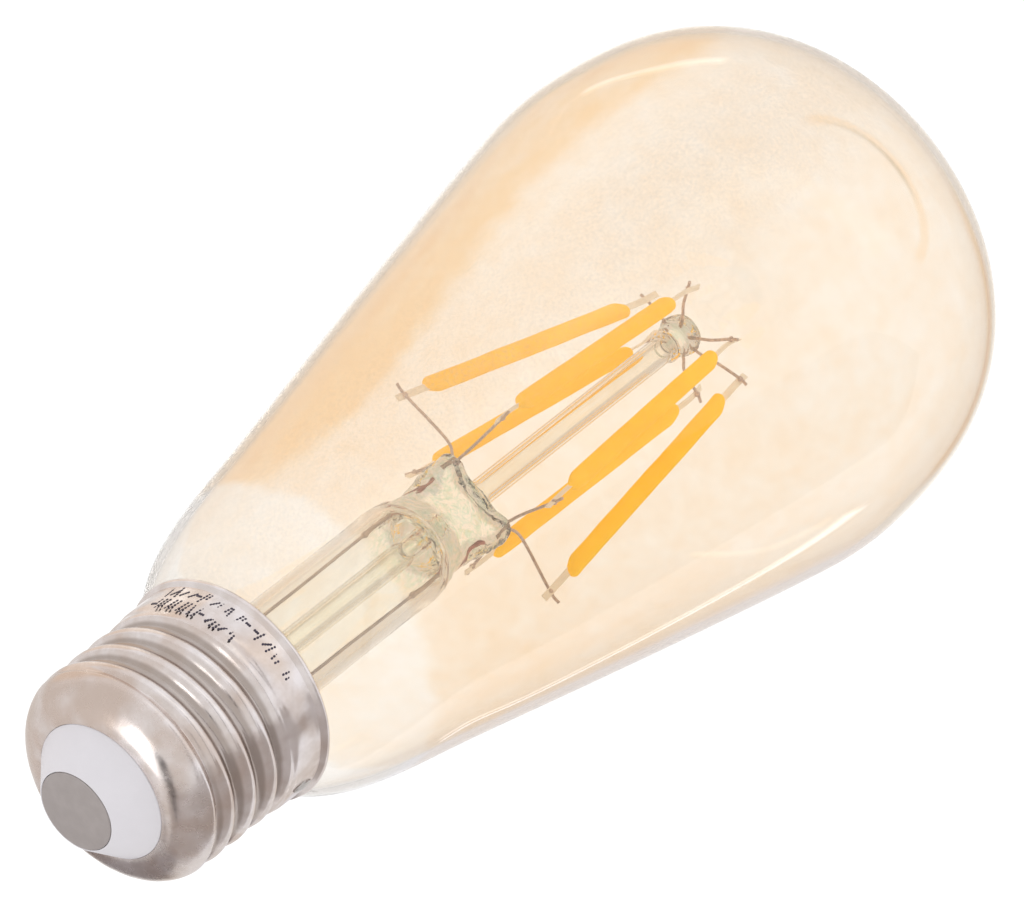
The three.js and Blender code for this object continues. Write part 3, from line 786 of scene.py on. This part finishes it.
def stem():
    """The glass stem: flare, tube, pinched press with a knob of glass over each weld, and the
    exhaust pipe that is fused into the press from below."""
    top = PRESS_TOP_Z
    sections = [
        # z, half width, half depth, squareness of the plan
        (FLARE_Z, FLARE_R - 0.1, FLARE_R - 0.1, 2),
        (FLARE_Z + 0.5, 9.6, 9.6, 2),
        (FLARE_Z + 2, 7.4, 7.4, 2),
        (FLARE_Z + 5, STEM_R + 0.2, STEM_R + 0.2, 2),
        (FLARE_Z + 9, STEM_R, STEM_R, 2),
        (40, STEM_R, STEM_R, 2),
        (51, STEM_R, STEM_R, 2),
        (55, STEM_R + 0.1, STEM_R + 0.1, 2),
        (57.3, STEM_R - 0.3, STEM_R - 0.5, 2),
        (59.5, STEM_R - 0.85, 4.3, 2.2),
        (61.5, STEM_R - 0.95, 3.2, 2.5),
        (64, STEM_R - 0.6, 2.8, 2.7),
        (66.5, STEM_R - 0.25, 2.75, 2.6),
        (top, STEM_R - 0.45, 2.4, 2.4),
        (top + 0.5, STEM_R - 1.3, 1.7, 2.2),
        (top + 0.4, STEM_R - 2.9, 1.2, 2),
        (top, STEM_R - 4.6, 0.7, 2),
    ]
    segments = 96
    verts, faces = [], []

    def ring(z, half_w, half_d, power=2, lumpy=0):
        start = len(verts)
        for j in range(segments):
            angle = 2 * math.pi * j / segments
            c, s = math.cos(angle), math.sin(angle)
            x = half_w * math.copysign(abs(c) ** (2 / power), c)
            y = half_d * math.copysign(abs(s) ** (2 / power), s)
            point = Vector((x, y, z + 0.9 * smooth(abs(x), 2.2, LEAD_X) * smooth(z, 64, top)))
            ripple = noise.noise(point / 2.1) + 0.6 * noise.noise(point / 0.9)
            size = 1 + 0.05 * lumpy * ripple
            verts.append(Vector((x * size, y * size, point.z + 0.1 * lumpy * ripple)))
        return range(start, start + segments)

    rings = []
    for z, half_w, half_d, power in catmull(sections, 7):
        rings.append(ring(z, half_w, half_d, power, smooth(z, 54, 60)))
    verts.append(Vector((0, 0, top - 0.1)))
    rings.append([len(verts) - 1])

    # The bore's end is an arch round the exhaust pipe.
    bore_r = STEM_R - STEM_WALL
    arch_z = 55.4
    arch = arc(((bore_r + PIPE_R) / 2, arch_z), ((bore_r - PIPE_R) / 2, 2.6), 0, 180, 16)
    inner = [
        (FLARE_R - 0.3, FLARE_Z - 1), (9.4, FLARE_Z - 0.7), (7.6, FLARE_Z + 0.2),
        (6.1, FLARE_Z + 2.6), (bore_r + 0.15, FLARE_Z + 6), (bore_r, FLARE_Z + 10), (bore_r, 40),
        (bore_r, arch_z - 1.4),
    ]
    tip_z = PIPE_BOTTOM_Z
    pipe = [(PIPE_R, 50), (PIPE_R, 30), (PIPE_R, tip_z + 0.3), (PIPE_R - 0.2, tip_z),
            (PIPE_BORE_R + 0.1, tip_z), (PIPE_BORE_R, tip_z + 0.3), (PIPE_BORE_R, 40),
            (PIPE_BORE_R, 57), (PIPE_BORE_R + 0.25, 60.4), (0.7, 61.6)]
    bottom = [(p[0], p[1]) for p in catmull(inner, 5)]
    inner_rings = [ring(z, r, r) for r, z in [*bottom, *arch, *pipe]]
    verts.append(Vector((0, 0, 61.9)))
    order = [*rings[::-1], *inner_rings, [len(verts) - 1]]
    for a, b in zip(order, order[1:]):
        for j in range(segments):
            k = (j + 1) % segments
            corners = [a[j % len(a)], a[k % len(a)], b[k % len(b)], b[j % len(b)]]
            faces.append(list(dict.fromkeys(corners)))
    return verts, faces


def support_rod():
    """Thin tube with a collar at each end."""
    collar = ROD_R + 0.35
    outline = [
        (ROD_BORE_R, ROD_BOTTOM_Z - 0.2), (collar, ROD_BOTTOM_Z - 0.2), (collar, ROD_BOTTOM_Z + 0.3),
        (ROD_R, ROD_BOTTOM_Z + 1.1), (ROD_R, ROD_TOP_Z - 1.6), (ROD_R + 0.05, ROD_TOP_Z - 1.2),
        (collar, ROD_TOP_Z - 0.8), (collar, ROD_TOP_Z), (ROD_BORE_R, ROD_TOP_Z),
    ]
    return revolve(rounded(outline, 0.25), 96)


def support_bead():
    """Squat glass button with a rolled edge, swollen where each anchor wire enters it."""
    profile = [
        # radius, height above the middle
        (1.9, -1.7), (2.15, -1.3), (2.2, -0.9), (2.5, -0.55), (BEAD_R, 0), (2.5, 0.5), (2.25, 0.75),
        (2.2, 1.1), (1.5, 1.55),
    ]
    outline = catmull([(r, BEAD_MID_Z + rise) for r, rise in profile], 5)
    outline = [(0, BEAD_MID_Z - 1.75), *[(p[0], p[1]) for p in outline], (0, BEAD_MID_Z + 1.75)]
    angles = [math.atan2(strip["head"][1], strip["head"][0]) for strip in CAGE]

    def swell(point):
        radius = math.hypot(point.x, point.y)
        if radius < 0.1:
            return point
        here = math.atan2(point.y, point.x)
        lumps = sum(math.exp(-((math.remainder(here - a, 2 * math.pi) / 0.25) ** 2)) for a in angles)
        near = math.exp(-(((point.z - BEAD_MID_Z) / 0.9) ** 2))
        scale = 1 + 0.07 * near * (lumps - 1) + 0.02 * noise.noise(point * 0.9)
        return Vector((point.x * scale, point.y * scale, point.z))

    return revolve(outline, 72, swell)


piece("stem_and_exhaust_tube", stem(), LOOKS["stem_glass"], "clear_glass", "stem_tube", "exhaust_tube")
piece("rod_glass", support_rod(), LOOKS["rod_glass"], "clear_glass", "support_rod")
piece("bead_glass", support_bead(), LOOKS["rod_glass"], "clear_glass", "support_bead")


# ---- Filament cage ----

def filament(foot, head, seed):
    """A round strip of silicone. Its coat is slightly lumpy, and tapers to one side at its ends."""
    length = (head - foot).length
    taper = 2.2
    rows = 90
    outline = [(0, 0)]
    for i in range(rows + 1):
        z = length * (0.5 - 0.5 * math.cos(math.pi * i / rows))
        nearest = min(z, length - z)
        blunt = math.sqrt(max(1 - (1 - min(nearest / 0.7, 1)) ** 2, 0.12))
        outline.append((FILAMENT_R * lerp(0.62, 1, smooth(nearest, -0.6, taper)) * blunt, z))
    outline.append((0, length))

    def lump(point):
        nearest = min(point.z, length - point.z)
        wave = noise.noise(Vector((point.x * 0.5, point.y * 0.5, point.z * 0.3 + 50 * seed)))
        scale = 1 + 0.05 * wave
        lean = 0.34 * (1 - smooth(nearest, 0, taper)) * (1 if point.z < length / 2 else -1)
        return Vector((point.x * scale, point.y * scale + lean, point.z))

    verts, faces = revolve(outline, 32, lump)
    return [foot + turn_along(foot, head) @ v for v in verts], faces


def turn_along(start, end):
    """Rotation whose Z runs from start to end and whose Y faces away from the bulb's axis."""
    along = (end - start).normalized()
    middle = (start + end) / 2
    outward = Vector((middle.x, middle.y, 0)).normalized()
    across = outward.cross(along).normalized()
    return Matrix((across, along.cross(across), along)).transposed()


def tab(start, end, bend):
    """A thin flat strip with its width along the radius, bent sideways near its end."""
    turn = turn_along(start, end)
    sideways = turn @ Vector((1, 0, 0))
    path = catmull([start, start.lerp(end, 0.55), end + sideways * bend], 8)
    half_w, half_t = TAB_WIDTH / 2, TAB_THICK / 2
    edge = half_t * 0.8
    section = [(half_w, 0), (half_w - edge, half_t), (-half_w + edge, half_t), (-half_w, 0),
               (-half_w + edge, -half_t), (half_w - edge, -half_t)]
    return sweep(path, section, turn @ Vector((0, 1, 0)))


def wire(points, radius=WIRE_R, steps=8):
    """A round wire with slightly blunted ends."""
    path = catmull(points, steps)
    return sweep(path, circle(radius, 16), (0.3, 0.2, 1))


def weld(point, size=0.34):
    """The lump of melted metal where a wire is welded to a tab."""
    verts, faces = revolve([(0, -size), *arc((0, 0), (size, size), -60, 60, 6), (0, size)], 16)
    lumpy = [v * (1 + 0.25 * noise.noise((v + point) * 4)) for v in verts]
    return [point + v for v in lumpy], faces


def cage_strip(number, foot, head, side):
    """One filament with its two tabs and the two wires that carry it."""
    low_end = Vector((*foot, FOOT_Z))
    high_end = Vector((*head, HEAD_Z))
    up = (high_end - low_end).normalized()
    piece(f"strip_{number}", filament(low_end, high_end, number), LOOKS["phosphor"], "phosphor",
          f"filament_{number}")
    low_tab = tab(low_end + up * 0.5, low_end - up * TAB_LENGTH, 0.15)
    piece(f"lower_tab_{number}", low_tab, LOOKS["tab_metal"], "tab_metal",
          f"filament_tab_lower_{number}")
    high_tab = tab(high_end - up * 0.5, high_end + up * TAB_LENGTH, -0.5)
    piece(f"upper_tab_{number}", high_tab, LOOKS["tab_metal"], "tab_metal",
          f"filament_tab_upper_{number}")
    feed_wire(number, low_end - up * CROSSING, side)
    outward = Vector((high_end.x, high_end.y, 0)).normalized()
    anchor_wire(number, high_end + up * CROSSING, outward)


def feed_wire(number, crossing, side):
    """Leaves a knob of the press upwards, bends over and runs out level across its tab."""
    knob = Vector((side * LEAD_X, 0, PRESS_TOP_Z))
    outward = Vector((crossing.x - knob.x, crossing.y, 0)).normalized()
    sideways = Vector((0, 0, 1)).cross(outward)
    crossing = crossing + sideways * TOUCH
    rise = 1.9 + 0.5 * noise.noise(Vector((number * 7.3, 0, 0)))
    up = Vector((0, 0, rise))
    points = [knob - up * 0.4, knob + up * 0.6 + outward * 0.15, knob + up + outward * 0.9,
              (knob + up).lerp(crossing, 0.3) + Vector((0, 0, 0.7)), crossing,
              crossing + outward * FEED_TIP]
    shape = joined(wire(points), weld(crossing))
    piece(f"lower_wire_{number}", shape, LOOKS["wire_metal"], "wire_metal", f"feed_wire_{number}")


def anchor_wire(number, crossing, outward):
    """Leaves the bead, bends a little by hand and runs out across its tab."""
    middle = Vector((0, 0, BEAD_MID_Z))
    sideways = Vector((0, 0, 1)).cross(outward)
    crossing = crossing - sideways * TOUCH
    kink = sideways * 1.1 * noise.noise(Vector((number * 3.7, 1, 0)))
    leave = middle + outward * (BEAD_R + 0.5)
    points = [middle + outward * 1.2, leave, leave.lerp(crossing, 0.4) + kink, crossing,
              crossing + outward * ANCHOR_TIP - kink * 0.4]
    shape = joined(wire(points), weld(crossing, 0.3))
    piece(f"upper_wire_{number}", shape, LOOKS["wire_metal"], "wire_metal",
          f"anchor_wire_{number}")


for index, strip in enumerate(CAGE):
    cage_strip(index + 1, strip["foot"], strip["head"], strip["side"])


# ---- Lead-in wires ----

def lead_in(name, side):
    """The lead in the stem, its weld knot, a thicker length above the knot and the red sealing section.
    """
    x = side * LEAD_X
    knot_z = 53.5
    thin = [Vector((x, 0, low(f"lead_in_{name}", Z))), Vector((x * 0.96, 0, 24)),
            Vector((x * 0.95, 0, 40)), Vector((x * 0.98, 0, knot_z))]
    thick = [Vector((x * 0.98, 0, knot_z)), Vector((x * 1.02, 0, 55.5)), Vector((x * 1.03, 0, 58))]
    blob = revolve(arc((0, knot_z), (0.42, 0.5), -90, 90, 8), 16)
    blob = ([v + Vector((x * 0.98, 0, 0)) for v in blob[0]], blob[1])
    shape = joined(wire(thin, 0.2), wire(thick, 0.32), blob)
    piece(f"stem_lead_{name}", shape, LOOKS["wire_metal"], "wire_metal", f"lead_in_{name}")
    seal = [Vector((x * 1.03, 0, 58)), Vector((x * 1.0, 0.2, 60)), Vector((x * 0.86, 0, 63.5)),
            Vector((x * 0.95, 0, 65.6))]
    piece(f"seal_wire_{name}", wire(seal, 0.24), LOOKS["dumet"], "dumet", f"dumet_{name}")


lead_in("left", -1)
lead_in("right", 1)


# ---- Studio ----

CENTRE = Vector((0, 0, 70)) * MM
BEHIND = (180, 38.1)  # the way that the camera looks


def direction(azimuth, elevation):
    """Unit vector: azimuth 0 points along -Y, 90 along +X, and elevation is above the horizon."""
    a, e = math.radians(azimuth), math.radians(elevation)
    return Vector((math.sin(a) * math.cos(e), -math.cos(a) * math.cos(e), math.sin(e)))


def spanning(start, end, distance):
    """Length and placing of a panel that faces the bulb and reaches from one direction to
    another, with its own X along its length."""
    a, b = direction(*start) * distance, direction(*end) * distance
    toward_bulb = -(a + b).normalized()
    length_axis = (b - a).normalized()
    turn = Matrix((length_axis, toward_bulb.cross(length_axis), toward_bulb)).transposed()
    return (b - a).length, Matrix.Translation(CENTRE + (a + b) / 2) @ turn.to_4x4()


def softbox(name, start, end, width, radiance, distance=1.35):
    """An area light that faces the bulb. width is in metres."""
    length, placing = spanning(start, end, distance)
    data = bpy.data.lights.new(name, "AREA")
    data.shape = "RECTANGLE"
    data.size = length
    data.size_y = width
    data.energy = radiance * math.pi * width * length
    light = bpy.data.objects.new(name, data)
    bpy.context.scene.collection.objects.link(light)
    light.matrix_world = placing @ Matrix.Rotation(math.pi, 4, "X")
    only_in_gloss(light)


def only_in_gloss(ob):
    """Keeps a lamp or card out of sight, except in a shiny surface."""
    ob.visible_camera = False
    ob.visible_transmission = False


def paper(name, colour):
    """Matte studio paper with a faint mottle."""
    look = Look(name, roughness=0.9)
    darker = tuple(c * 0.97 for c in colour)
    look.set("Base Color", look.mix(look.noise(80, 3), darker, colour))
    return look.material


def sheet(name, width, depth, colour):
    """A flat rectangle of studio paper about its own origin. Sizes are in metres."""
    mesh = bpy.data.meshes.new(name)
    w, d = width / 2, depth / 2
    mesh.from_pydata([(-w, -d, 0), (w, -d, 0), (w, d, 0), (-w, d, 0)], [], [(0, 1, 2, 3)])
    mesh.materials.append(paper(name + "_paper", colour))
    ob = bpy.data.objects.new(name, mesh)
    bpy.context.scene.collection.objects.link(ob)
    return ob


def flag(name, start, end, width, colour, distance=1.2):
    """A dark card that faces the bulb, to shape its reflections."""
    length, placing = spanning(start, end, distance)
    card = sheet(name, length, width, colour)
    card.matrix_world = placing
    card.visible_diffuse = False
    card.visible_shadow = False
    return card


class Surround(Nodes):
    """The world: patches of light laid over a plain grey."""

    def __init__(self, radiance):
        world = bpy.data.worlds.new("studio")
        bpy.context.scene.world = world
        world.use_nodes = True
        super().__init__(world.node_tree)
        self.looking = self.add("TexCoord").outputs["Generated"]
        self.radiance = radiance

    def toward(self, vector):
        """Cosine of the angle between a unit vector and the direction that is looked up."""
        inputs = {0: self.looking, 1: vector}
        return self.add("VectorMath", inputs, operation="DOT_PRODUCT").outputs["Value"]

    def lay(self, mask, radiance):
        """Lays a patch over what is there, where the mask is 1."""
        self.radiance = self.mix(mask, self.radiance, radiance)

    def disc(self, centre, radius, soft, radiance):
        """A round patch. Angles are in degrees, and soft is half the width of its edge."""
        outside, inside = (math.cos(math.radians(radius + s)) for s in (soft, -soft))
        self.lay(self.ramp(self.toward(direction(*centre)), outside, inside), radiance)

    def band(self, start, end, half_width, soft, radiance):
        """A patch along the line between two directions."""
        a, b = direction(*start), direction(*end)
        off_line = self.math("ABSOLUTE", self.toward(a.cross(b).normalized()))
        outside, inside = (math.sin(math.radians(half_width + s)) for s in (soft, -soft))
        across = self.ramp(off_line, inside, outside, 1, 0)
        half = a.angle(b) / 2
        end_of_line = self.toward((a + b).normalized())
        along = self.ramp(end_of_line, math.cos(half + math.radians(2 * soft)), math.cos(half))
        self.lay(self.math("MULTIPLY", across, along), radiance)

    def finish(self):
        """Gives the world the patches laid so far."""
        self.put(self.tree.nodes["Background"].inputs["Color"], self.radiance)


# A patch lies over the ones before it.
surround = Surround((0.925, 0.92, 0.94))
surround.disc(BEHIND, 60, 6, (0.78, 0.75, 0.73))
surround.disc((-113, 28), 25, 1.5, (0.9, 0.79, 0.7))
surround.band((-118, 32.3), (-97, 49), 1.2, 0.8, (1.9, 1.9, 1.8))
surround.band((119, 29.3), (139, 29.3), 0.18, 0.16, (2.5, 2.5, 2.6))
surround.band((-34, 20), (22, 42), 5, 3, (1.2, 1.19, 1.17))
surround.band((149, 43), (134, 74), 4, 2, (0.76, 0.6, 0.47))
surround.disc(BEHIND, 14, 5, (1.12, 1.12, 1.12))
surround.band((148, 32), (166, 36), 3, 2, (0.8, 0.79, 0.83))
surround.finish()

floor = sheet("floor", 40, 40, (0.92, 0.92, 0.92))
floor.location.z = -1.6
softbox("base_light", (-32, -70), (-177, -70), 0.34, 2.7)
only_in_gloss(flag("base_flag", (13, -72.5), (129, -55), 0.26, (0.05, 0.045, 0.05)))
only_in_gloss(flag("side_flag", (155, -56), (51, 30), 1.05, (0.5, 0.47, 0.465), 1.6))
only_in_gloss(flag("front_flag", (-9, 11), (54, -17), 0.1, (0.3, 0.28, 0.28)))
only_in_gloss(flag("edge_flag", (153, -41), (170, 9), 0.7, (0.3, 0.27, 0.27)))

view = bpy.context.scene.view_settings
view.view_transform = "Standard"
view.look = "None"
cycles = bpy.context.scene.cycles
cycles.max_bounces = 32
cycles.transmission_bounces = 32
cycles.transparent_max_bounces = 32
cycles.glossy_bounces = 8
